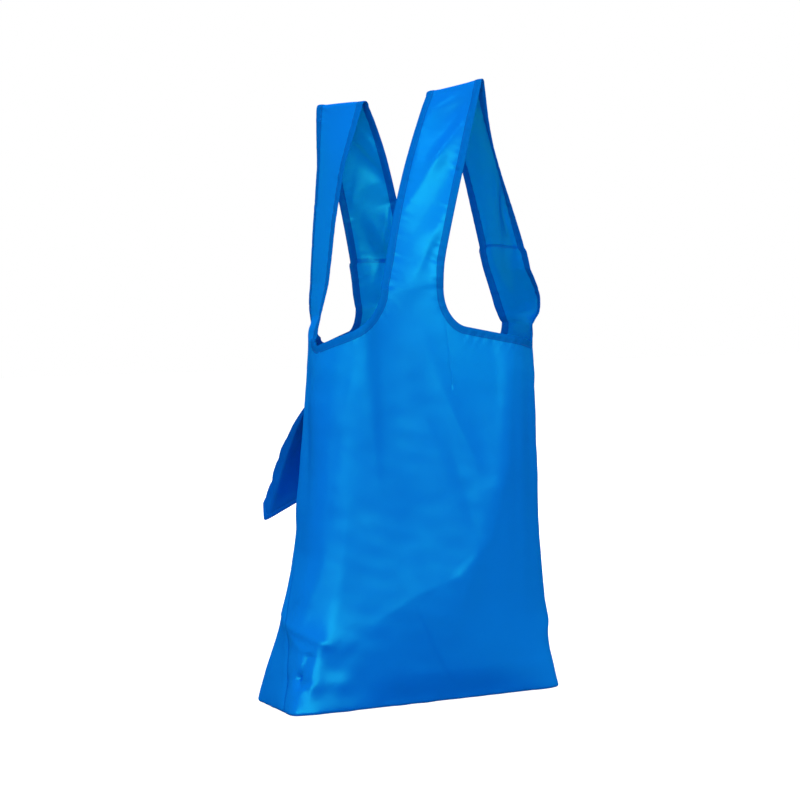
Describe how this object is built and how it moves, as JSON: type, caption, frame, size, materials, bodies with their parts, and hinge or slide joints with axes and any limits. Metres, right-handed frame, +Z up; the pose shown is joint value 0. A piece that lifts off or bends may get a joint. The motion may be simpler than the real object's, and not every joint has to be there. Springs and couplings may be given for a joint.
{
  "type": "foldable shopping bag",
  "caption": "Thin woven foldable shopping bag standing open, with tall shoulder straps crossing from its ends to its long sides, taped edges, a boxed foot and a small storage pouch behind.",
  "frame": {"origin": "middle of the foot's underside", "axes": "+Z up through the mouth and straps, -Y out of the front panel, +X to the right end seen from the front"},
  "size_m": [0.3792, 0.2576, 0.7641],
  "materials": {
    "blue_taffeta": "thin, tightly woven, with a soft gloss",
    "edge_tape": "the same cloth folded double over the edge and stitched"
  },
  "bodies": {
    "root": {"front_panel": "blue_taffeta", "back_panel": "blue_taffeta", "base_panel": "blue_taffeta", "mouth_binding": "edge_tape", "right_armhole_binding": "edge_tape", "left_armhole_binding": "edge_tape", "pouch": "blue_taffeta", "pouch_hem": "edge_tape"}
  },
  "joints": []
}
